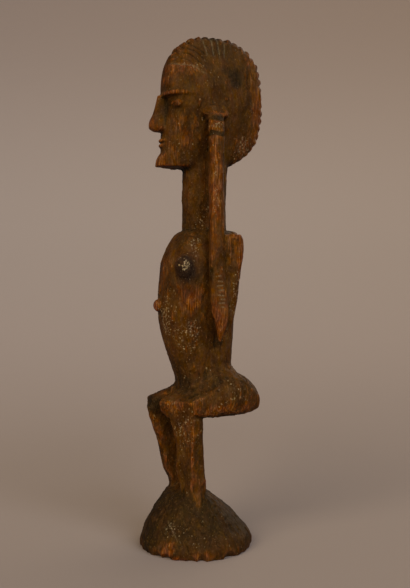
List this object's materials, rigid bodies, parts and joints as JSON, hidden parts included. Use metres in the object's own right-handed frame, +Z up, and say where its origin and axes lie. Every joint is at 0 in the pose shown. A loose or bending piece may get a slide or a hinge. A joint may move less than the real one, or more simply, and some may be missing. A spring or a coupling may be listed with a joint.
{
  "type": "carved wooden figure",
  "caption": "Upright carved wooden figure half sitting on bent legs over a conical base, hands raised to a crested head.",
  "frame": {"origin": "middle of the base's flat underside", "axes": "+Z up along the figure, which faces -Y, with its left side towards +X"},
  "size_m": [0.0537, 0.0608, 0.2469],
  "materials": {
    "aged_wood": "old hand-carved wood, dark brown, oiled by handling and semi-gloss, with worn orange-brown high spots and a dry pale crust in places"
  },
  "bodies": {
    "root": {"carved_figure": "aged_wood"}
  },
  "joints": []
}
